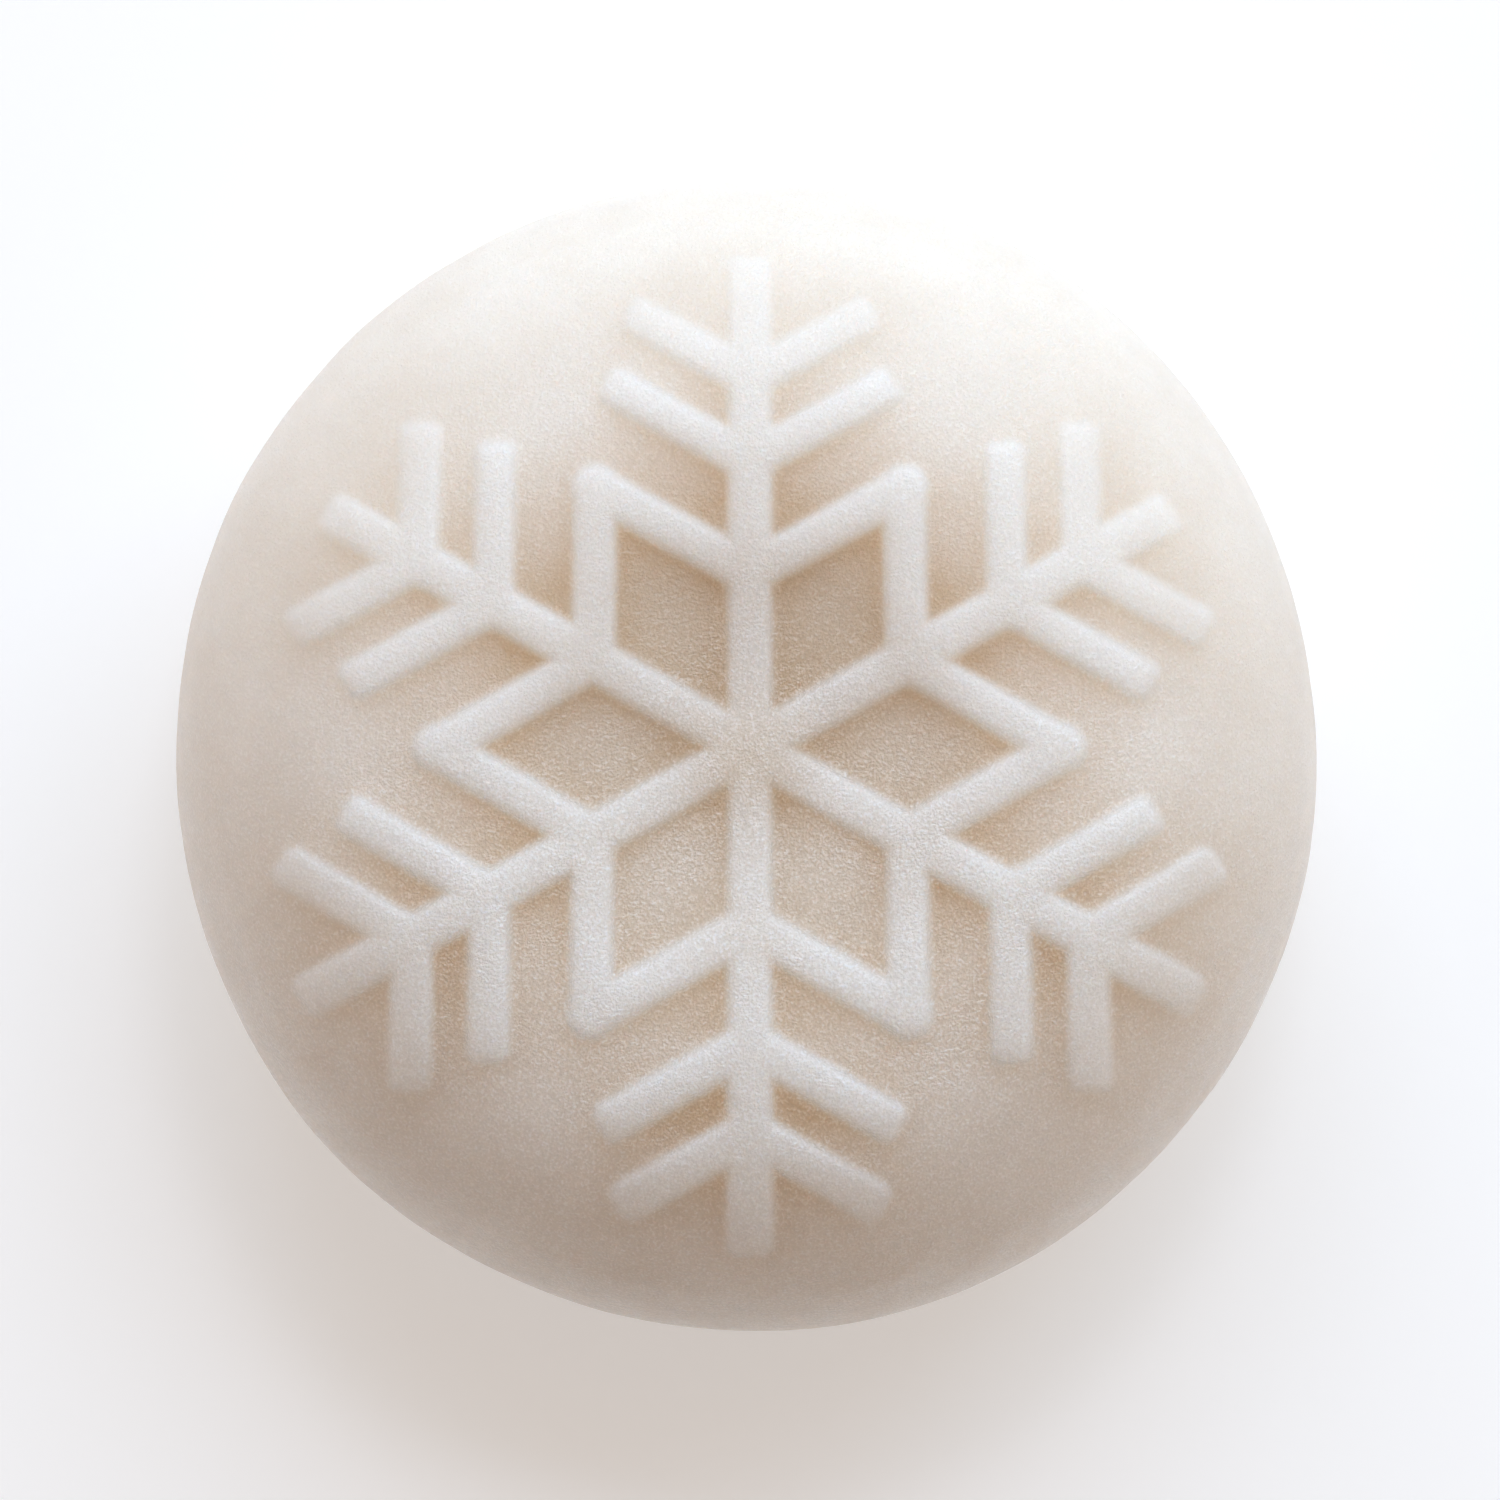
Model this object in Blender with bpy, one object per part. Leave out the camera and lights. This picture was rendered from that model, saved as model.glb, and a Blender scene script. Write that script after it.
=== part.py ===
"""Nerikiri: a white moulded bean-paste sweet, one solid piece.

The piece is a low, soft-sided bun with a flat underside.  Its domed top has a
shallow dish in the middle and carries a six-armed snowflake in relief: six
spines, a six-pointed star of rhombi round the centre, and two pairs of
slanting branches on each arm.

Frame: metres, +Z up, origin on the underside below the middle of the bun.
The snowflake's first arm points along +Y.
"""

import math

import bmesh
import bpy
import numpy as np
from mathutils import Vector
from mathutils.geometry import delaunay_2d_cdt

MM = 0.001

# ---------------------------------------------------------------------------
# Driving dimensions, in millimetres and degrees
# ---------------------------------------------------------------------------
# The bun
SIDE_RADIUS = 22.60      # mean radius at the widest level
WIDEST_LEVEL = 11.00     # height of the widest level above the underside
CROWN_RISE = 11.00       # from the widest level to the undished crown
CROWN_POWER = 4.60       # how flat the crown stays towards the shoulder
SHOULDER_POWER = 2.00    # how tightly the shoulder turns down
DISH_DEPTH = 1.00        # the shallow hollow in the middle of the top
DISH_RADIUS = 7.80
KNOT_HEIGHT = 0.20       # the middle, where the ridges meet, stands a little proud
KNOT_RADIUS = 1.90
BELLY_DROP = 14.00       # virtual depth of the lower curve, cut at the underside
BELLY_POWER = 3.00
BELLY_ROUND = 3.00

# The outline isn't quite round: (waves round the bun, share of radius, degrees)
OUTLINE_WAVES = (
    (2, 0.0046, -156.0),
    (3, 0.0012, 173.0),
    (4, 0.0010, -168.0),
    (5, 0.0014, -20.0),
    (6, 0.0013, -69.0),
)

# The snowflake, seen from above
FLAKE_X, FLAKE_Y = 0.13, 0.30   # its centre, from the bun's axis
FLAKE_WIDE = 1.012              # it is a touch wider than tall
FLAKE_TALL = 0.985
FLAKE_TAPER = 0.0012            # and narrows towards +Y, share per millimetre
SPREAD = 60.0                   # branches and star edges leave at this angle
STAR_SIDE = 6.94                # side of each rhombus of the star
INNER_BRANCH_AT = 11.45         # along the arm
INNER_BRANCH_LENGTH = 6.50
OUTER_BRANCH_AT = 14.85
# Each arm: direction from +X, length of its spine and of its outer branches
ARMS = (
    (90.0, 19.85, 5.60),
    (30.0, 19.00, 5.60),
    (330.0, 19.70, 5.85),
    (270.0, 19.55, 5.80),
    (210.0, 19.70, 5.85),
    (150.0, 19.00, 5.60),
)
LONGEST_ARM = 19.90

# The ridges' cross section
SPINE_HALF_WIDTH = 0.82         # at half height
STAR_HALF_WIDTH = 0.79
BRANCH_HALF_WIDTH = 0.765
END_ROUND = 0.42                # corner radius of a ridge's end, seen from above
RIDGE_HEIGHT = 0.64             # above the smooth top
RIDGE_SETTLE = 0.12             # lower by this in the middle of the dish
RIDGE_HEIGHT_END = 0.44         # at the arms' tips
RIDGE_FALLS_FROM = 13.5         # the ridges keep their height to here, then get lower
# (distance from the half-height outline, share of the ridge's height)
SECTION = ((-0.34, 1.00), (-0.11, 0.86), (0.17, 0.00))

# How finely the faceted solid follows the form
SEGMENTS = 96                   # round the bun
RIM_SHARE = 0.905               # the top mesh reaches to this share of the radius
STEP_ALONG = 2.30               # along the ridges
FLOOR_PITCH = 2.00              # between the ridges
CLEAR_OF_RIDGE = 0.55

PASTE_COLOUR = (0.83, 0.76, 0.68, 1.0)
PASTE_ROUGHNESS = 0.50


# ---------------------------------------------------------------------------
# Form of the bun
# ---------------------------------------------------------------------------
def outline(theta):
    """Share of the mean radius at direction theta, in radians."""
    share = 1.0
    for count, size, phase in OUTLINE_WAVES:
        share += size * math.cos(count * theta - math.radians(phase))
    return share


def dome_level(x, y):
    """Height of the smooth top at a point in plan."""
    r = math.hypot(x, y)
    share = r / (SIDE_RADIUS * outline(math.atan2(y, x)))
    rest = max(0.0, 1.0 - share ** CROWN_POWER)
    crown = CROWN_RISE * rest ** (1.0 / SHOULDER_POWER)
    dish = DISH_DEPTH * math.exp(-(r / DISH_RADIUS) ** 2)
    knot = KNOT_HEIGHT * math.exp(-(r / KNOT_RADIUS) ** 2)
    return WIDEST_LEVEL + crown - dish + knot


def belly_share(level):
    """Share of the radius at a level below the widest one."""
    t = (WIDEST_LEVEL - level) / BELLY_DROP
    return (1.0 - t ** BELLY_POWER) ** (1.0 / BELLY_ROUND)


# ---------------------------------------------------------------------------
# Ridges of the snowflake: strips with a start, an end and a half width
# ---------------------------------------------------------------------------
def heading(degrees):
    a = math.radians(degrees)
    return Vector((math.cos(a), math.sin(a)))


def snowflake_strips():
    """Every ridge as (start, end, half width, end rounding), in flake coordinates."""
    strips = []
    for angle, length, outer_branch in ARMS:
        out = heading(angle)
        strips.append((out * -1.5 * SPINE_HALF_WIDTH, out * length, SPINE_HALF_WIDTH, END_ROUND))
        for side in (-SPREAD, SPREAD):
            way = heading(angle + side)
            root = out * STAR_SIDE
            tip = root + way * (STAR_SIDE + STAR_HALF_WIDTH)
            strips.append((root, tip, STAR_HALF_WIDTH, STAR_HALF_WIDTH * 0.9))
            root = out * INNER_BRANCH_AT
            strips.append((root, root + way * INNER_BRANCH_LENGTH, BRANCH_HALF_WIDTH, END_ROUND))
            root = out * OUTER_BRANCH_AT
            strips.append((root, root + way * outer_branch, BRANCH_HALF_WIDTH, END_ROUND))
    return strips


STRIPS = snowflake_strips()


def flake_point(p):
    """From flake coordinates to the bun's plan."""
    narrow = 1.0 - FLAKE_TAPER * p.y
    return Vector((FLAKE_X + FLAKE_WIDE * p.x * narrow, FLAKE_Y + FLAKE_TALL * p.y * narrow))


def from_plan(x, y):
    """From the bun's plan to flake coordinates."""
    v = (y - FLAKE_Y) / FLAKE_TALL
    for _ in range(6):
        v = (y - FLAKE_Y) / (FLAKE_TALL * (1.0 - FLAKE_TAPER * v))
    return Vector(((x - FLAKE_X) / (FLAKE_WIDE * (1.0 - FLAKE_TAPER * v)), v))


def distance_to_strip(p, strip):
    """Signed distance in plan to a strip's half-height outline, negative inside."""
    start, end, half, rounding = strip
    axis = (end - start).normalized()
    mid = (start + end) / 2.0
    rel = p - mid
    along = abs(rel.dot(axis)) - (end - start).length / 2.0 + rounding
    across = abs(rel.x * -axis.y + rel.y * axis.x) - half + rounding
    outside = math.hypot(max(along, 0.0), max(across, 0.0))
    return outside + min(max(along, across), 0.0) - rounding


def distance_to_flake(x, y):
    p = from_plan(x, y)
    return min(distance_to_strip(p, s) for s in STRIPS)


def ridge_height(x, y):
    r = from_plan(x, y).length
    t = min(1.0, max(0.0, (r - RIDGE_FALLS_FROM) / (LONGEST_ARM - RIDGE_FALLS_FROM)))
    settle = RIDGE_SETTLE * math.exp(-(r / DISH_RADIUS) ** 2)
    return RIDGE_HEIGHT + (RIDGE_HEIGHT_END - RIDGE_HEIGHT) * t * t * (3.0 - 2.0 * t) - settle


def section_share(d):
    """Share of the ridge's height at signed distance d from its outline."""
    if d <= SECTION[0][0]:
        return 1.0
    for (d0, s0), (d1, s1) in zip(SECTION, SECTION[1:]):
        if d <= d1:
            return s0 + (s1 - s0) * (d - d0) / (d1 - d0)
    return 0.0


def top_level(x, y):
    return dome_level(x, y) + ridge_height(x, y) * section_share(distance_to_flake(x, y))


# ---------------------------------------------------------------------------
# Plan of the top: ridge contours, floor points and the rim, triangulated
# ---------------------------------------------------------------------------
def strip_contour(strip, offset):
    """Closed contour of a strip, offset from its half-height outline."""
    start, end, half, rounding = strip
    axis = (end - start).normalized()
    side = Vector((-axis.y, axis.x))
    mid = (start + end) / 2.0
    half_length = (end - start).length / 2.0 + offset
    half_width = half + offset
    corner = max(0.05, min(rounding + offset, half_width * 0.98))
    steps = max(2, int(round((2.0 * half_length - 2.0 * corner) / STEP_ALONG)))
    turns = 3
    points = []
    for quarter in range(4):
        sx = (1, -1, -1, 1)[quarter]
        sy = (1, 1, -1, -1)[quarter]
        centre = mid + axis * (sx * (half_length - corner)) + side * (sy * (half_width - corner))
        for k in range(turns + 1):
            a = math.radians(90.0 * quarter + 90.0 * k / turns)
            points.append(centre + (axis * math.cos(a) + side * math.sin(a)) * corner)
        if quarter in (0, 2):
            nxt = mid + axis * (-sx * (half_length - corner)) + side * (sy * half_width)
            last = points[-1]
            for k in range(1, steps):
                points.append(last.lerp(nxt, k / steps))
    return points


def rim_point(k):
    theta = 2.0 * math.pi * k / SEGMENTS
    r = RIM_SHARE * SIDE_RADIUS * outline(theta)
    return Vector((r * math.cos(theta), r * math.sin(theta)))


def plan_of_top():
    points, edges = [], []

    def add_loop(loop):
        first = len(points)
        points.extend(loop)
        edges.extend((first + k, first + (k + 1) % len(loop)) for k in range(len(loop)))

    add_loop([rim_point(k) for k in range(SEGMENTS)])
    for strip in STRIPS:
        for offset, _share in SECTION:
            add_loop([flake_point(p) for p in strip_contour(strip, offset)])

    # Floor points on a triangular grid that lines up with the ridges
    reach = RIM_SHARE * SIDE_RADIUS
    rows = int(reach / (FLOOR_PITCH * math.sqrt(0.75))) + 1
    for i in range(-rows, rows + 1):
        for j in range(-2 * rows, 2 * rows + 1):
            x = FLAKE_X + i * FLOOR_PITCH * math.sqrt(0.75)
            y = FLAKE_Y + (j + 0.5 * (i % 2)) * FLOOR_PITCH
            share = math.hypot(x, y) / (SIDE_RADIUS * outline(math.atan2(y, x)))
            if share < RIM_SHARE - 0.055 and distance_to_flake(x, y) > CLEAR_OF_RIDGE:
                points.append(Vector((x, y)))
    return points, edges


def build_nerikiri():
    points, edges = plan_of_top()
    made = delaunay_2d_cdt(points, edges, [], 1, 0.01)
    plan, faces = made[0], [list(f) for f in made[2]]

    bm = bmesh.new()
    verts = [bm.verts.new((p.x, p.y, top_level(p.x, p.y))) for p in plan]
    for face in faces:
        corners = [verts[k] for k in face]
        a, b, c = (v.co for v in corners[:3])
        if (b.x - a.x) * (c.y - a.y) - (b.y - a.y) * (c.x - a.x) < 0.0:
            corners.reverse()
        bm.faces.new(corners)

    # The rim loop, in order of direction, starts the turned side
    rim = [e for e in bm.edges if len(e.link_faces) == 1]
    loop = sorted({v for e in rim for v in e.verts}, key=lambda v: math.atan2(v.co.y, v.co.x) % (2.0 * math.pi))
    rings = []
    for share in (0.935, 0.958, 0.976, 0.990, 0.998):
        level = WIDEST_LEVEL + CROWN_RISE * (1.0 - share ** CROWN_POWER) ** (1.0 / SHOULDER_POWER)
        rings.append((share, level))
    for level in (WIDEST_LEVEL, 9.6, 8.0, 6.4, 4.9, 3.4, 2.1, 1.0, 0.30):
        rings.append((belly_share(level), level))
    rings.append((belly_share(0.0) - 0.012, 0.0))

    for share, level in rings:
        ring = []
        for v in loop:
            theta = math.atan2(v.co.y, v.co.x)
            r = share * SIDE_RADIUS * outline(theta)
            ring.append(bm.verts.new((r * math.cos(theta), r * math.sin(theta), level)))
        for k in range(len(loop)):
            n = (k + 1) % len(loop)
            bm.faces.new((loop[k], ring[k], ring[n], loop[n]))
        loop = ring
    bm.faces.new(list(reversed(loop)))

    bmesh.ops.triangulate(bm, faces=[f for f in bm.faces if len(f.verts) > 3])
    for v in bm.verts:
        v.co *= MM
    bm.normal_update()
    mesh = bpy.data.meshes.new("nerikiri")
    bm.to_mesh(mesh)
    bm.free()
    mesh.shade_smooth()
    mesh.set_sharp_from_angle(angle=math.radians(50.0))
    return mesh


def paste_material():
    material = bpy.data.materials.new("white_bean_paste")
    material.use_nodes = True
    shader = material.node_tree.nodes["Principled BSDF"]
    shader.inputs["Base Color"].default_value = PASTE_COLOUR
    shader.inputs["Roughness"].default_value = PASTE_ROUGHNESS
    shader.inputs["Metallic"].default_value = 0.0
    return material


def main():
    for obj in list(bpy.data.objects):
        bpy.data.objects.remove(obj, do_unlink=True)
    mesh = build_nerikiri()
    mesh.materials.append(paste_material())
    bun = bpy.data.objects.new("nerikiri", mesh)
    bpy.context.scene.collection.objects.link(bun)


main()
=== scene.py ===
import math

import bpy
import numpy as np
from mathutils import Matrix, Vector
from mathutils.geometry import delaunay_2d_cdt


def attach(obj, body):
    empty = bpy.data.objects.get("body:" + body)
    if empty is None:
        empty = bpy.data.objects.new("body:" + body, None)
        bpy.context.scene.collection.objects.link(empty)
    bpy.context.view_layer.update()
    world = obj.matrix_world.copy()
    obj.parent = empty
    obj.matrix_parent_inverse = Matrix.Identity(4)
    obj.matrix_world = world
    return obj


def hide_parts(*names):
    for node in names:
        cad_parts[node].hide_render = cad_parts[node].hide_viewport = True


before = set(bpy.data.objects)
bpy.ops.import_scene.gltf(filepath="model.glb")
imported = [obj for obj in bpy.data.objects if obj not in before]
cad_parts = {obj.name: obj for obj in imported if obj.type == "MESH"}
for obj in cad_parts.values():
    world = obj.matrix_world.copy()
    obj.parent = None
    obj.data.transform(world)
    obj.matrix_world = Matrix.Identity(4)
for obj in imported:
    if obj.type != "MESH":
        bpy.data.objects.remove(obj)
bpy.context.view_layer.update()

# A white moulded bean-paste sweet.  The surface below is the solid's own form, on a far finer
# mesh, with the small unevenness, pits and wrinkles that the paste shows.  Lengths here are in
# millimetres until the mesh is written.

MM = 0.001

# ---------------------------------------------------------------------------
# Form of the bun: the same driving dimensions as the solid
# ---------------------------------------------------------------------------
SIDE_RADIUS = 22.60
WIDEST_LEVEL = 11.00
CROWN_RISE = 11.00
CROWN_POWER = 4.60
SHOULDER_POWER = 2.00
DISH_DEPTH = 1.00
DISH_RADIUS = 7.80
KNOT_HEIGHT = 0.20               # the middle, where the ridges meet, stands a little proud
KNOT_RADIUS = 1.90
BELLY_DROP = 14.00
BELLY_POWER = 3.00
BELLY_ROUND = 3.00
OUTLINE_WAVES = (
    (2, 0.0046, -156.0),
    (3, 0.0012, 173.0),
    (4, 0.0010, -168.0),
    (5, 0.0014, -20.0),
    (6, 0.0013, -69.0),
)
INSET = 0.012                   # the fine surface lies this far inside the solid's side

FLAKE_X, FLAKE_Y = 0.13, 0.30
FLAKE_WIDE = 1.012
FLAKE_TALL = 0.985
FLAKE_TAPER = 0.0012            # the pattern narrows towards +Y, share per mm
STAR_SIDE = 6.94
INNER_BRANCH_AT = 11.45
OUTER_BRANCH_AT = 14.85
SPREAD = 60.0
SPINE_HALF_WIDTH = 0.82
STAR_HALF_WIDTH = 0.79
BRANCH_HALF_WIDTH = 0.765
END_ROUND = 0.42
RIDGE_HEIGHT = 0.56
RIDGE_SETTLE = 0.12             # the ridges are this much lower in the middle of the dish
RIDGE_HEIGHT_END = 0.38
RIDGE_FALLS_FROM = 13.5         # the ridges keep their height to here, then get lower
WALL_WIDTH = 0.064              # how softly the walls of the ridges rise

# Each arm: direction, tip, length of the inner branches and of the outer ones
# (first the branch turned clockwise from the arm, then the other)
ARMS = (
    (90.0, 19.85, (6.50, 6.50), (5.60, 5.60)),
    (30.0, 19.00, (6.50, 6.50), (5.60, 5.60)),
    (330.0, 19.70, (6.50, 6.50), (5.90, 5.90)),
    (270.0, 19.55, (6.50, 6.50), (5.80, 5.80)),
    (210.0, 19.70, (6.50, 6.50), (5.90, 5.90)),
    (150.0, 19.00, (6.50, 6.50), (5.60, 5.60)),
)

# Mesh fineness
PITCH = 0.105                   # on the ridges' walls; twice that elsewhere on the top
ROUND = 320                     # points round the side
RIM_SHARE = 0.93
SIDE_STEP = 0.42


# ---------------------------------------------------------------------------
# Small helpers
# ---------------------------------------------------------------------------
class Noise:
    """Smooth gradient noise in about -1..1, the same on every run."""

    def __init__(self, seed):
        rng = np.random.default_rng(seed)
        self.perm = np.tile(rng.permutation(256), 4)
        g = rng.normal(size=(256, 3))
        self.grad = g / np.linalg.norm(g, axis=1, keepdims=True)

    def __call__(self, p):
        p = np.asarray(p, dtype=float)
        cell = np.floor(p).astype(np.int64)
        f = p - cell
        cell &= 255
        w = f * f * f * (f * (f * 6.0 - 15.0) + 10.0)
        total = np.zeros(len(p))
        for dx in (0, 1):
            wx = w[:, 0] if dx else 1.0 - w[:, 0]
            for dy in (0, 1):
                wy = w[:, 1] if dy else 1.0 - w[:, 1]
                for dz in (0, 1):
                    wz = w[:, 2] if dz else 1.0 - w[:, 2]
                    h = self.perm[self.perm[self.perm[cell[:, 0] + dx] + cell[:, 1] + dy] + cell[:, 2] + dz]
                    g = self.grad[h]
                    total += wx * wy * wz * (
                        g[:, 0] * (f[:, 0] - dx) + g[:, 1] * (f[:, 1] - dy) + g[:, 2] * (f[:, 2] - dz)
                    )
        return total * 1.7


def smooth(lo, hi, v):
    t = np.clip((v - lo) / (hi - lo), 0.0, 1.0)
    return t * t * (3.0 - 2.0 * t)


def outline(theta):
    share = np.ones_like(theta)
    for count, size, phase in OUTLINE_WAVES:
        share = share + size * np.cos(count * theta - math.radians(phase))
    return share


def crown_level(share):
    return WIDEST_LEVEL + CROWN_RISE * np.clip(1.0 - share ** CROWN_POWER, 0.0, 1.0) ** (1.0 / SHOULDER_POWER)


def dish_level(r):
    return DISH_DEPTH * np.exp(-((r / DISH_RADIUS) ** 2)) - KNOT_HEIGHT * np.exp(-((r / KNOT_RADIUS) ** 2))


def belly_share(level):
    t = (WIDEST_LEVEL - level) / BELLY_DROP
    return (1.0 - t ** BELLY_POWER) ** (1.0 / BELLY_ROUND)


def from_photo(px, py):
    """Plan position of a mark seen at a pixel of the photo's 1500 x 1500 frame."""
    return (px - 746.6) / 25.70, (755.8 - py) / 25.70


# ---------------------------------------------------------------------------
# The snowflake
# ---------------------------------------------------------------------------
def heading(degrees):
    return np.array((math.cos(math.radians(degrees)), math.sin(math.radians(degrees))))


def flake_strips():
    strips = []
    for angle, tip, inner, outer in ARMS:
        out = heading(angle)
        strips.append((out * -1.2, out * tip, SPINE_HALF_WIDTH, END_ROUND))
        for k, side in enumerate((-SPREAD, SPREAD)):
            way = heading(angle + side)
            root = out * STAR_SIDE
            strips.append((root, root + way * (STAR_SIDE + STAR_HALF_WIDTH), STAR_HALF_WIDTH, STAR_HALF_WIDTH * 0.92))
            root = out * INNER_BRANCH_AT
            strips.append((root, root + way * inner[k], BRANCH_HALF_WIDTH, END_ROUND))
            root = out * OUTER_BRANCH_AT
            strips.append((root, root + way * outer[k], BRANCH_HALF_WIDTH, END_ROUND))
    return strips


STRIPS = flake_strips()


def flake_to_plan(uv):
    narrow = 1.0 - FLAKE_TAPER * uv[:, 1]
    return np.stack((FLAKE_X + FLAKE_WIDE * uv[:, 0] * narrow, FLAKE_Y + FLAKE_TALL * uv[:, 1] * narrow), axis=1)


def plan_to_flake(xy):
    x, y = xy[:, 0] - FLAKE_X, xy[:, 1] - FLAKE_Y
    v = y / FLAKE_TALL
    for _ in range(6):
        v = y / (FLAKE_TALL * (1.0 - FLAKE_TAPER * v))
    return np.stack((x / (FLAKE_WIDE * (1.0 - FLAKE_TAPER * v)), v), axis=1)


def flake_distance(uv, blend=0.09):
    """Signed distance to the ridges' half-height outline, negative inside, with small fillets in the crotches."""
    total = np.zeros(len(uv))
    nearest = np.full(len(uv), 1e9)
    each = []
    for start, end, half, rounding in STRIPS:
        axis = (end - start) / np.linalg.norm(end - start)
        rel = uv - (start + end) / 2.0
        along = np.abs(rel @ axis) - np.linalg.norm(end - start) / 2.0 + rounding
        across = np.abs(rel[:, 1] * axis[0] - rel[:, 0] * axis[1]) - half + rounding
        d = np.hypot(np.maximum(along, 0.0), np.maximum(across, 0.0)) + np.minimum(np.maximum(along, across), 0.0) - rounding
        each.append(d)
        nearest = np.minimum(nearest, d)
    for d in each:
        total += np.exp(-np.minimum((d - nearest) / blend, 60.0))
    return nearest - blend * np.log(total)


# ---------------------------------------------------------------------------
# The fine surface of the top
# ---------------------------------------------------------------------------
swell, lump, skin, grain, edge_wave, edge_fine, wrinkle = (Noise(k) for k in (3, 11, 23, 37, 41, 53, 67))

# Small marks of the moulded paste: photo x, photo y, half length, half width, direction, depth
MARKS = (
    (509, 654, 0.20, 0.09, 95.0, 0.14),
    (645, 558, 0.10, 0.09, 0.0, 0.12),
    (675, 755, 0.22, 0.13, 40.0, 0.12),
    (332, 793, 0.16, 0.10, 60.0, 0.10),
    (392, 875, 0.12, 0.08, 30.0, 0.10),
    (967, 486, 0.30, 0.10, 130.0, 0.12),
    (330, 1071, 0.30, 0.10, 35.0, 0.12),
    (916, 1249, 0.42, 0.11, 25.0, 0.16),
    (748, 1249, 0.24, 0.07, 0.0, 0.16),
)


def marks(xy):
    depth = np.zeros(len(xy))
    for px, py, half_length, half_width, turn, deep in MARKS:
        cx, cy = from_photo(px, py)
        c, s = math.cos(math.radians(turn)), math.sin(math.radians(turn))
        a = ((xy[:, 0] - cx) * c + (xy[:, 1] - cy) * s) / half_length
        b = (-(xy[:, 0] - cx) * s + (xy[:, 1] - cy) * c) / half_width
        depth += deep * np.exp(-(a * a + b * b))
    return depth


def unevenness(p, fine=True):
    """How far the paste stands out of its ideal form, in mm."""
    out = 0.050 * swell(p / 6.5) + 0.020 * lump(p / 2.3)
    if fine:
        out = out + 0.009 * skin(p / 0.85) + 0.004 * grain(p / 0.42)
    return out


def rim_wrinkles(theta, arc, level_share):
    """Fine wrinkles that run round the shoulder on the side away from the first arm."""
    low = smooth(0.1, 0.8, -np.sin(theta))
    band = smooth(0.84, 0.90, level_share)
    q = np.stack((theta * SIDE_RADIUS / 3.2, arc / 0.42, np.zeros_like(arc)), axis=1)
    return 0.012 * low * band * wrinkle(q)


def blurred(field, sigma):
    """Gaussian blur of a square field, sigma in cells."""
    reach = int(math.ceil(3.0 * sigma))
    kernel = np.exp(-0.5 * (np.arange(-reach, reach + 1) / sigma) ** 2)
    kernel /= kernel.sum()
    rows = np.array([np.convolve(row, kernel, "same") for row in field])
    return np.array([np.convolve(col, kernel, "same") for col in rows.T]).T


class Shelter:
    """The share of ridge round a place on the plan, within about sigma millimetres."""

    CELL = 0.15

    def __init__(self, sigma):
        half = SIDE_RADIUS + 6.0
        self.low = -half
        line = np.arange(-half, half, self.CELL)
        gx, gy = np.meshgrid(line, line)
        d = flake_distance(plan_to_flake(np.stack((gx.ravel(), gy.ravel()), axis=1)))
        cover = (1.0 / (1.0 + np.exp(np.clip(d / 0.058, -40.0, 40.0)))).reshape(gx.shape)
        self.field = blurred(cover, sigma / self.CELL)

    def __call__(self, xy):
        u = (xy - self.low) / self.CELL
        k = np.clip(np.floor(u).astype(int), 0, len(self.field) - 2)
        f = u - k
        a = self.field[k[:, 1], k[:, 0]] * (1 - f[:, 0]) + self.field[k[:, 1], k[:, 0] + 1] * f[:, 0]
        b = self.field[k[:, 1] + 1, k[:, 0]] * (1 - f[:, 0]) + self.field[k[:, 1] + 1, k[:, 0] + 1] * f[:, 0]
        return a * (1 - f[:, 1]) + b * f[:, 1]


def recess_shade_share(xy):
    """Painted shade: how strongly the colour is darkened and warmed as shade between the ridges and a little at the
    middle knot, 0 to 1.
    """
    r = np.hypot(xy[:, 0], xy[:, 1])
    outward = 1.0 - 0.30 * smooth(9.3, 12.0, r) - 0.15 * smooth(14.0, 16.0, r)
    off_ridge = 1.0 / (1.0 + np.exp(np.clip((0.10 - flake_distance(plan_to_flake(xy))) / 0.078, -40.0, 40.0)))
    # Painted shade, heavier where the surface turns from the light: towards the first arm inside the dish, towards
    # the opposite arm on the shoulder
    towards = xy[:, 1] / np.maximum(r, 1.0)
    side_shade = 1.0 + 0.17 * towards * smooth(2.0, 5.0, r) * (1.0 - smooth(8.8, 11.5, r)) - 0.50 * towards * smooth(11.5, 15.0, r)
    cells = off_ridge * np.minimum((0.17 + 1.46 * Shelter(1.8)(xy)) * outward * side_shade, 1.0)
    return np.clip(cells + 0.44 * np.exp(-((r / 2.6) ** 2)) * (1.0 - cells), 0.0, 1.0)


def ripple_share(xy):
    """Where the skin is drawn into fine ripples: the shoulder below and to the left of the pattern."""
    theta = np.arctan2(xy[:, 1], xy[:, 0])
    r = np.hypot(xy[:, 0], xy[:, 1])
    turn = np.cos(theta - math.radians(242.0))
    return smooth(0.55, 0.95, turn) * smooth(16.0, 18.5, r)


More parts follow.
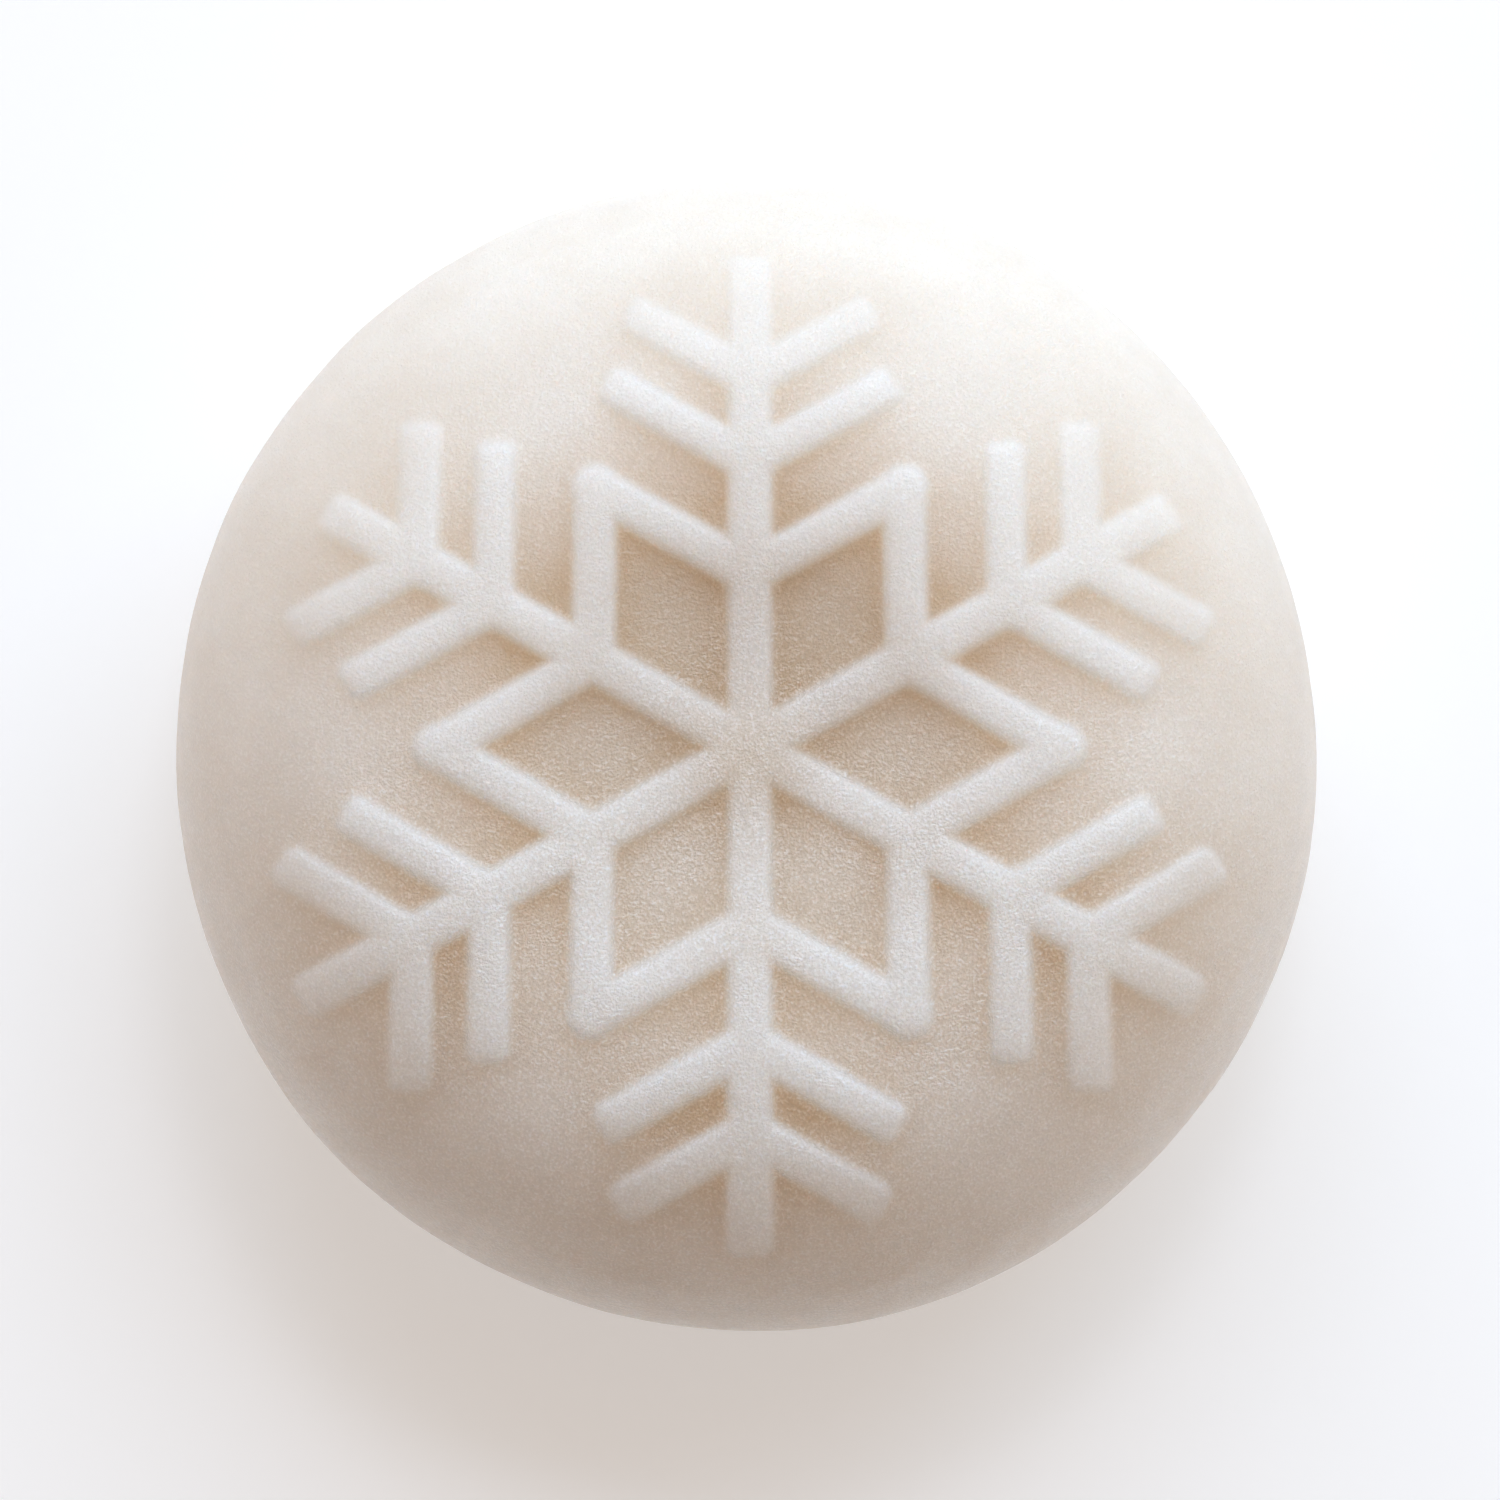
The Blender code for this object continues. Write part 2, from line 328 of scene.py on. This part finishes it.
def top_surface(xy):
    """Points of the top over plan positions."""
    r = np.hypot(xy[:, 0], xy[:, 1])
    theta = np.arctan2(xy[:, 1], xy[:, 0])
    share = r / ((SIDE_RADIUS - INSET) * outline(theta))
    base = crown_level(share) - dish_level(r)
    p = np.stack((xy[:, 0], xy[:, 1], base), axis=1)

    uv = plan_to_flake(xy)
    d = flake_distance(uv)
    d = d + 0.028 * edge_wave(p / 1.25) + 0.012 * edge_fine(p / 0.5)
    reach = np.hypot(uv[:, 0], uv[:, 1])
    t = smooth(RIDGE_FALLS_FROM, 19.9, reach)
    height = RIDGE_HEIGHT + (RIDGE_HEIGHT_END - RIDGE_HEIGHT) * t - RIDGE_SETTLE * np.exp(-((r / DISH_RADIUS) ** 2))
    height = height * (1.0 + 0.04 * lump(p / 2.9 + 7.0))
    wall = 1.0 / (1.0 + np.exp(np.clip(d / WALL_WIDTH, -40.0, 40.0)))
    crowned = 1.0 - 0.08 * np.clip((d + 0.8) / 0.8, 0.0, 1.3) ** 2.3
    z = base + height * wall * crowned

    # Fine cross wrinkles towards the tips of the lower arms
    low_tip = smooth(16.6, 19.0, reach) * smooth(0.25, 0.5, -uv[:, 1] / np.maximum(reach, 1.0)) * wall
    z = z + 0.013 * low_tip * np.sin(2.0 * math.pi * reach / 0.33 + 2.5 * skin(p / 0.6))

    z = z + unevenness(p) - marks(xy)
    return np.stack((xy[:, 0], xy[:, 1], z), axis=1)


def plan_points():
    """Plan of the top's mesh: a triangular grid in line with the ridges, finer on their walls."""
    reach = RIM_SHARE * SIDE_RADIUS * 1.06
    row = PITCH * math.sqrt(0.75)
    ni, nj = int(reach / row), int(reach / PITCH)
    i, j = np.meshgrid(np.arange(-ni, ni + 1), np.arange(-nj, nj + 1), indexing="ij")
    i, j = i.ravel(), j.ravel()
    uv = np.stack((i * row, (j + 0.5 * (i & 1)) * PITCH), axis=1)
    coarse = ((i & 1) == 0) & (((j - (i >> 1)) & 1) == 0)
    xy = flake_to_plan(uv)
    share = np.hypot(xy[:, 0], xy[:, 1]) / ((SIDE_RADIUS - INSET) * outline(np.arctan2(xy[:, 1], xy[:, 0])))
    inside = share < RIM_SHARE - 0.009
    uv, xy, coarse = uv[inside], xy[inside], coarse[inside]
    d = flake_distance(uv)
    keep = coarse | ((d > -0.36) & (d < 0.30))
    return xy[keep]


def build_surface():
    ring_theta = 2.0 * math.pi * np.arange(ROUND) / ROUND
    ring_out = (SIDE_RADIUS - INSET) * outline(ring_theta)
    rim = np.stack((RIM_SHARE * ring_out * np.cos(ring_theta), RIM_SHARE * ring_out * np.sin(ring_theta)), axis=1)
    grid = plan_points()
    points = np.concatenate((rim, grid))
    made = delaunay_2d_cdt([Vector(q) for q in points.tolist()], [(k, (k + 1) % ROUND) for k in range(ROUND)], [], 1, 1e-5)
    plan = np.array([tuple(q) for q in made[0]])
    tris = np.array(made[2], dtype=np.int64)
    a, b, c = plan[tris[:, 0]], plan[tris[:, 1]], plan[tris[:, 2]]
    turned = (b[:, 0] - a[:, 0]) * (c[:, 1] - a[:, 1]) - (b[:, 1] - a[:, 1]) * (c[:, 0] - a[:, 0]) < 0.0
    tris[turned] = tris[turned][:, ::-1]
    at_rim = {}
    for k, sources in enumerate(made[3]):
        for s in sources:
            if s < ROUND:
                at_rim[s] = k
    top = top_surface(plan)
    recess_shade = recess_shade_share(plan)
    verts = [top]
    faces = [tuple(t) for t in tris.tolist()]
    last = [at_rim[k] for k in range(ROUND)]

    # The side: its profile, walked at even steps from the rim to the underside
    upper = np.linspace(0.0, 1.0, 400)
    share = RIM_SHARE + (1.0 - RIM_SHARE) * (1.0 - (1.0 - upper) ** 3.0)
    prof = np.stack((share * SIDE_RADIUS, crown_level(share) - dish_level(share * SIDE_RADIUS)), axis=1)
    levels = np.linspace(WIDEST_LEVEL, 0.0, 500)[1:]
    prof = np.concatenate((prof, np.stack((belly_share(levels) * SIDE_RADIUS, levels), axis=1)))
    foot = prof[-1].copy()
    below = np.hypot(*(prof - foot).T)
    turn = prof[below > 0.55]
    start, end = turn[-1], foot - np.array((0.50, 0.0))
    t = np.linspace(0.0, 1.0, 12)[1:, None]
    prof = np.concatenate((turn, start * (1 - t) ** 2 + 2 * foot * t * (1 - t) + end * t * t))
    run = np.concatenate(([0.0], np.cumsum(np.hypot(*np.diff(prof, axis=0).T))))
    steps = int(run[-1] / SIDE_STEP)
    at = np.linspace(0.0, run[-1], steps + 1)[1:]
    pr, pz = np.interp(at, run, prof[:, 0]), np.interp(at, run, prof[:, 1])
    ahead, behind = np.minimum(at + 0.1, run[-1]), np.maximum(at - 0.1, 0.0)
    tr = np.interp(ahead, run, prof[:, 0]) - np.interp(behind, run, prof[:, 0])
    tz = np.interp(ahead, run, prof[:, 1]) - np.interp(behind, run, prof[:, 1])
    nr, nz = -tz / np.hypot(tr, tz), tr / np.hypot(tr, tz)

    base = len(top)
    for k in range(len(at)):
        r = pr[k] / SIDE_RADIUS * ring_out
        p = np.stack((r * np.cos(ring_theta), r * np.sin(ring_theta), np.full(ROUND, pz[k])), axis=1)
        normal = np.stack((nr[k] * np.cos(ring_theta), nr[k] * np.sin(ring_theta), np.full(ROUND, nz[k])), axis=1)
        arc = np.full(ROUND, at[k])
        stand = unevenness(p) + rim_wrinkles(ring_theta, arc, np.full(ROUND, 1.0))
        settle = smooth(0.0, 2.2, pz[k])
        p = p + normal * (stand * settle)[:, None]
        p[:, 2] = np.maximum(p[:, 2], 0.0)
        verts.append(p)
        ring = list(range(base, base + ROUND))
        for n in range(ROUND):
            m = (n + 1) % ROUND
            faces.append((last[n], ring[n], ring[m], last[m]))
        last = ring
        base += ROUND
    verts.append(np.array([[0.0, 0.0, 0.0]]))
    for n in range(ROUND):
        faces.append((last[n], base, last[(n + 1) % ROUND]))
    verts = np.concatenate(verts)
    looks = {}
    out = np.hypot(verts[:, 0], verts[:, 1])
    # Painted shade between the ridges on the top, and an even tenth of it over the side
    looks["recess_shade"] = np.concatenate((recess_shade, np.full(len(verts) - len(top), 0.10)))
    looks["pale"] = smooth(7.0, 10.0, out) * (1.0 - smooth(14.5, 18.5, out))
    # Sheen: fuller on the side away from the first arm, fainter on the other side and on the shoulder; it weights the
    # coat and the painted glints and grain shade
    low = smooth(-0.5, 0.5, -verts[:, 1] / np.maximum(out, 1.0))
    looks["sheen"] = (1.0 - 0.48 * (1.0 - low) * smooth(1.5, 8.0, out)) * (1.0 - (0.67 - 0.27 * low) * smooth(14.0, 19.0, out))
    # The painted glints on the grains are fainter down between the ridges, in the painted shade
    looks["glint_share"] = looks["sheen"] * (1.0 - 0.50 * looks["recess_shade"])
    looks["ripple"] = ripple_share(verts[:, :2]) * smooth(3.0, 8.0, verts[:, 2])
    return verts, faces, looks


points, faces, looks = build_surface()
mesh = bpy.data.meshes.new("nerikiri_surface")
mesh.from_pydata((points * MM).tolist(), [], faces)
mesh.validate()
mesh.update()
mesh.shade_smooth()
for name, values in looks.items():
    mesh.attributes.new(name, "FLOAT", "POINT").data.foreach_set("value", values.astype(np.float32))
surface = bpy.data.objects.new("nerikiri_surface", mesh)
bpy.context.scene.collection.objects.link(surface)
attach(surface, "root")
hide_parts("nerikiri")


# ---------------------------------------------------------------------------
# Material of the paste
# ---------------------------------------------------------------------------
# Colour of the painted shade between the ridges
RECESS_SHADE_TINT = (0.812, 0.664, 0.485, 1.0)
PALE_TINT = (0.890, 0.842, 0.785, 1.0)
# Colour of the painted glints on the grain
PAINTED_GLINT = (0.975, 0.965, 0.975, 1.0)


def paste():
    material = bpy.data.materials.new("white_bean_paste")
    material.use_nodes = True
    tree = material.node_tree
    tree.nodes.clear()
    new = tree.nodes.new

    def link(a, b):
        tree.links.new(a, b)

    out = new("ShaderNodeOutputMaterial")
    shader = new("ShaderNodeBsdfPrincipled")
    link(shader.outputs["BSDF"], out.inputs["Surface"])
    shader.inputs["Subsurface Weight"].default_value = 1.0
    shader.inputs["Subsurface Radius"].default_value = (1.0, 0.88, 0.76)
    shader.inputs["Subsurface Scale"].default_value = 0.0090
    shader.inputs["IOR"].default_value = 1.46
    shader.inputs["Specular IOR Level"].default_value = 0.35
    shader.inputs["Coat Roughness"].default_value = 0.20
    shader.inputs["Coat IOR"].default_value = 1.8

    coords = new("ShaderNodeTexCoord")

    # Colour: cream with faint cloudy patches
    cloud = new("ShaderNodeTexNoise")
    cloud.inputs["Scale"].default_value = 260.0
    cloud.inputs["Detail"].default_value = 2.0
    cloud.inputs["Roughness"].default_value = 0.55
    link(coords.outputs["Object"], cloud.inputs["Vector"])
    tint = new("ShaderNodeValToRGB")
    tint.color_ramp.elements[0].position = 0.30
    tint.color_ramp.elements[0].color = (0.820, 0.755, 0.680, 1.0)
    tint.color_ramp.elements[1].position = 0.72
    tint.color_ramp.elements[1].color = (0.860, 0.805, 0.740, 1.0)
    link(cloud.outputs["Fac"], tint.inputs["Fac"])

    def value_of(name):
        node = new("ShaderNodeAttribute")
        node.attribute_type = "GEOMETRY"
        node.attribute_name = name
        return node.outputs["Fac"]

    # A touch paler in a ring round the dish
    paler = new("ShaderNodeMix")
    paler.data_type = "RGBA"
    paler.blend_type = "MIX"
    link(value_of("pale"), paler.inputs["Factor"])
    link(tint.outputs["Color"], paler.inputs["A"])
    paler.inputs["B"].default_value = PALE_TINT

    # Painted shade: between the ridges the colour is darkened and warmed, as shade falls there, against the ridge
    # tops
    recess_shaded = new("ShaderNodeMix")
    recess_shaded.data_type = "RGBA"
    recess_shaded.blend_type = "MULTIPLY"
    link(value_of("recess_shade"), recess_shaded.inputs["Factor"])
    link(paler.outputs["Result"], recess_shaded.inputs["A"])
    recess_shaded.inputs["B"].default_value = RECESS_SHADE_TINT

    # Roughness: a little uneven, as where the mould pressed the skin smooth
    patches = new("ShaderNodeTexNoise")
    patches.inputs["Scale"].default_value = 480.0
    patches.inputs["Detail"].default_value = 1.0
    patches.inputs["Roughness"].default_value = 0.6
    link(coords.outputs["Object"], patches.inputs["Vector"])

    def patchy(low, high):
        spread = new("ShaderNodeMapRange")
        spread.inputs["From Min"].default_value = 0.32
        spread.inputs["From Max"].default_value = 0.64
        spread.inputs["To Min"].default_value = low
        spread.inputs["To Max"].default_value = high
        link(patches.outputs["Fac"], spread.inputs["Value"])
        return spread.outputs["Result"]

    link(patchy(0.58, 0.42), shader.inputs["Roughness"])

    # Relief: sugar-fine grain over soft pores
    def bumped(scale, detail, roughness, distance, strength, before=None, vector=None):
        noise = new("ShaderNodeTexNoise")
        noise.inputs["Scale"].default_value = scale
        noise.inputs["Detail"].default_value = detail
        noise.inputs["Roughness"].default_value = roughness
        link(vector or coords.outputs["Object"], noise.inputs["Vector"])
        bump = new("ShaderNodeBump")
        bump.inputs["Distance"].default_value = distance
        if hasattr(strength, "is_output"):
            link(strength, bump.inputs["Strength"])
        else:
            bump.inputs["Strength"].default_value = strength
        link(noise.outputs["Fac"], bump.inputs["Height"])
        if before is not None:
            link(before, bump.inputs["Normal"])
        return bump.outputs["Normal"], noise.outputs["Fac"]

    drawn = new("ShaderNodeMapping")
    drawn.inputs["Rotation"].default_value = (0.0, 0.0, math.radians(28.0))
    drawn.inputs["Scale"].default_value = (0.16, 1.0, 0.5)
    link(coords.outputs["Object"], drawn.inputs["Vector"])
    ripples, _ = bumped(5600.0, 0.0, 0.4, 0.00010, value_of("ripple"), None, drawn.outputs["Vector"])
    pores, _ = bumped(2300.0, 1.0, 0.55, 0.00008, 0.9, ripples)
    grain_bump, grain_height = bumped(9000.0, 1.0, 0.6, 0.00011, 1.0, pores)
    link(grain_bump, shader.inputs["Normal"])

    # Sheen: the tiny wrinkles and grains of the skin each catch the light their own way
    link(grain_bump, shader.inputs["Coat Normal"])
    strength = new("ShaderNodeMath")
    strength.operation = "MULTIPLY"
    link(patchy(0.35, 1.0), strength.inputs[0])
    link(value_of("sheen"), strength.inputs[1])
    link(strength.outputs["Value"], shader.inputs["Coat Weight"])

    # Painted glints and shade of the grain: the highest grains are painted pale and cool as sparkles of light, the
    # pits between them a little darker as shade
    def by_grain(low, high, at_low, at_high):
        spread = new("ShaderNodeMapRange")
        spread.inputs["From Min"].default_value = low
        spread.inputs["From Max"].default_value = high
        spread.inputs["To Min"].default_value = at_low
        spread.inputs["To Max"].default_value = at_high
        link(grain_height, spread.inputs["Value"])
        return spread

    crest = by_grain(0.53, 0.72, 0.0, 0.60)
    deviation = new("ShaderNodeMath")
    deviation.operation = "MULTIPLY"
    link(by_grain(0.34, 0.66, -0.066, 0.066).outputs["Result"], deviation.inputs[0])
    link(value_of("sheen"), deviation.inputs[1])
    share = new("ShaderNodeMath")
    share.operation = "ADD"
    share.inputs[0].default_value = 1.0
    link(deviation.outputs["Value"], share.inputs[1])
    grainy = new("ShaderNodeVectorMath")
    grainy.operation = "SCALE"
    link(recess_shaded.outputs["Result"], grainy.inputs[0])
    link(share.outputs["Value"], grainy.inputs["Scale"])
    glint_share = new("ShaderNodeMath")
    glint_share.operation = "MULTIPLY"
    link(crest.outputs["Result"], glint_share.inputs[0])
    link(value_of("glint_share"), glint_share.inputs[1])
    glinted = new("ShaderNodeMix")
    glinted.data_type = "RGBA"
    glinted.blend_type = "MIX"
    link(glint_share.outputs["Value"], glinted.inputs["Factor"])
    link(grainy.outputs["Vector"], glinted.inputs["A"])
    glinted.inputs["B"].default_value = PAINTED_GLINT
    link(glinted.outputs["Result"], shader.inputs["Base Color"])
    return material


mesh.materials.append(paste())


# ---------------------------------------------------------------------------
# Floor, light and camera
# ---------------------------------------------------------------------------
def plain_floor():
    size = 6.0
    floor = bpy.data.meshes.new("floor")
    floor.from_pydata([(-size, -size, 0), (size, -size, 0), (size, size, 0), (-size, size, 0)], [], [(0, 1, 2, 3)])
    material = bpy.data.materials.new("floor_white")
    material.use_nodes = True
    shader = material.node_tree.nodes["Principled BSDF"]
    shader.inputs["Base Color"].default_value = (0.74, 0.74, 0.74, 1.0)
    shader.inputs["Roughness"].default_value = 0.9
    shader.inputs["Specular IOR Level"].default_value = 0.1
    shader.inputs["Emission Color"].default_value = (1.0, 1.0, 1.0, 1.0)
    shader.inputs["Emission Strength"].default_value = 0.34
    material.cycles.emission_sampling = "NONE"
    floor.materials.append(material)
    obj = bpy.data.objects.new("floor", floor)
    obj.location = (0.0, 0.0, -0.00005)
    bpy.context.scene.collection.objects.link(obj)


def area_light(name, azimuth, elevation, distance, size, power, colour):
    """A soft panel; azimuth is counted from +X towards +Y."""
    a, e = math.radians(azimuth), math.radians(elevation)
    way = Vector((math.cos(a) * math.cos(e), math.sin(a) * math.cos(e), math.sin(e)))
    light = bpy.data.lights.new(name, "AREA")
    light.shape = "SQUARE"
    light.size = size
    light.energy = power
    light.color = colour
    obj = bpy.data.objects.new(name, light)
    obj.location = way * distance
    obj.rotation_mode = "QUATERNION"
    obj.rotation_quaternion = way.to_track_quat("Z", "Y")
    obj.visible_camera = False
    bpy.context.scene.collection.objects.link(obj)
    return obj


def studio_sky():
    """Soft light from large panels round the bun: each is a lobe of the sky, with its way and colour."""
    world = bpy.data.worlds.new("studio")
    world.use_nodes = True
    tree = world.node_tree
    tree.nodes.clear()
    new, link = tree.nodes.new, tree.links.new
    coords = new("ShaderNodeTexCoord")
    total = None
    for azimuth, elevation, colour in SKY_LOBES:
        a, e = math.radians(azimuth), math.radians(elevation)
        facing = new("ShaderNodeVectorMath")
        facing.operation = "DOT_PRODUCT"
        link(coords.outputs["Generated"], facing.inputs[0])
        facing.inputs[1].default_value = (math.cos(a) * math.cos(e), math.sin(a) * math.cos(e), math.sin(e))
        positive = new("ShaderNodeMath")
        positive.operation = "MAXIMUM"
        positive.inputs[1].default_value = 0.0
        link(facing.outputs["Value"], positive.inputs[0])
        squared = new("ShaderNodeMath")
        squared.operation = "POWER"
        squared.inputs[1].default_value = 2.0
        link(positive.outputs["Value"], squared.inputs[0])
        lobe = new("ShaderNodeVectorMath")
        lobe.operation = "SCALE"
        lobe.inputs[0].default_value = colour
        link(squared.outputs["Value"], lobe.inputs["Scale"])
        if total is None:
            total = lobe.outputs["Vector"]
        else:
            add = new("ShaderNodeVectorMath")
            add.operation = "ADD"
            link(total, add.inputs[0])
            link(lobe.outputs["Vector"], add.inputs[1])
            total = add.outputs["Vector"]
    light = new("ShaderNodeBackground")
    link(total, light.inputs["Color"])
    seen = new("ShaderNodeBackground")
    seen.inputs["Color"].default_value = (0.90, 0.89, 0.88, 1.0)
    path = new("ShaderNodeLightPath")
    pick = new("ShaderNodeMixShader")
    link(path.outputs["Is Camera Ray"], pick.inputs["Fac"])
    link(light.outputs["Background"], pick.inputs[1])
    link(seen.outputs["Background"], pick.inputs[2])
    out = new("ShaderNodeOutputWorld")
    link(pick.outputs["Shader"], out.inputs["Surface"])
    bpy.context.scene.world = world


SKY_LOBES = (
    (76.0, 26.0, (0.68, 0.62, 0.50)),
    (166.0, 25.0, (0.63, 0.49, 0.415)),
    (-14.0, 25.0, (0.57, 0.43, 0.345)),
)

plain_floor()
area_light("key", 76.0, 37.0, 0.80, 0.90, 7.1, (0.565, 0.765, 1.0))
area_light("sparkle", 80.0, 60.0, 0.80, 0.14, 0.55, (0.86, 0.90, 1.0))
studio_sky()

CAMERA_HEIGHT = 700.0
camera_data = bpy.data.cameras.new("camera")
camera_data.sensor_width = 36.0
# The bun's mean radius of 22.6 mm at its widest level fills 573.5 of 1500 pixels
camera_data.lens = 36.0 / 1500.0 * (573.5 / SIDE_RADIUS) * (CAMERA_HEIGHT - WIDEST_LEVEL)
camera_data.clip_start = 0.01
camera_data.clip_end = 20.0
camera = bpy.data.objects.new("camera", camera_data)
camera.location = (0.134 * MM, 0.229 * MM, CAMERA_HEIGHT * MM)
bpy.context.scene.collection.objects.link(camera)
bpy.context.scene.camera = camera

settings = bpy.context.scene.view_settings
settings.view_transform = "Standard"
settings.look = "None"
settings.exposure = 0.0
settings.gamma = 1.0
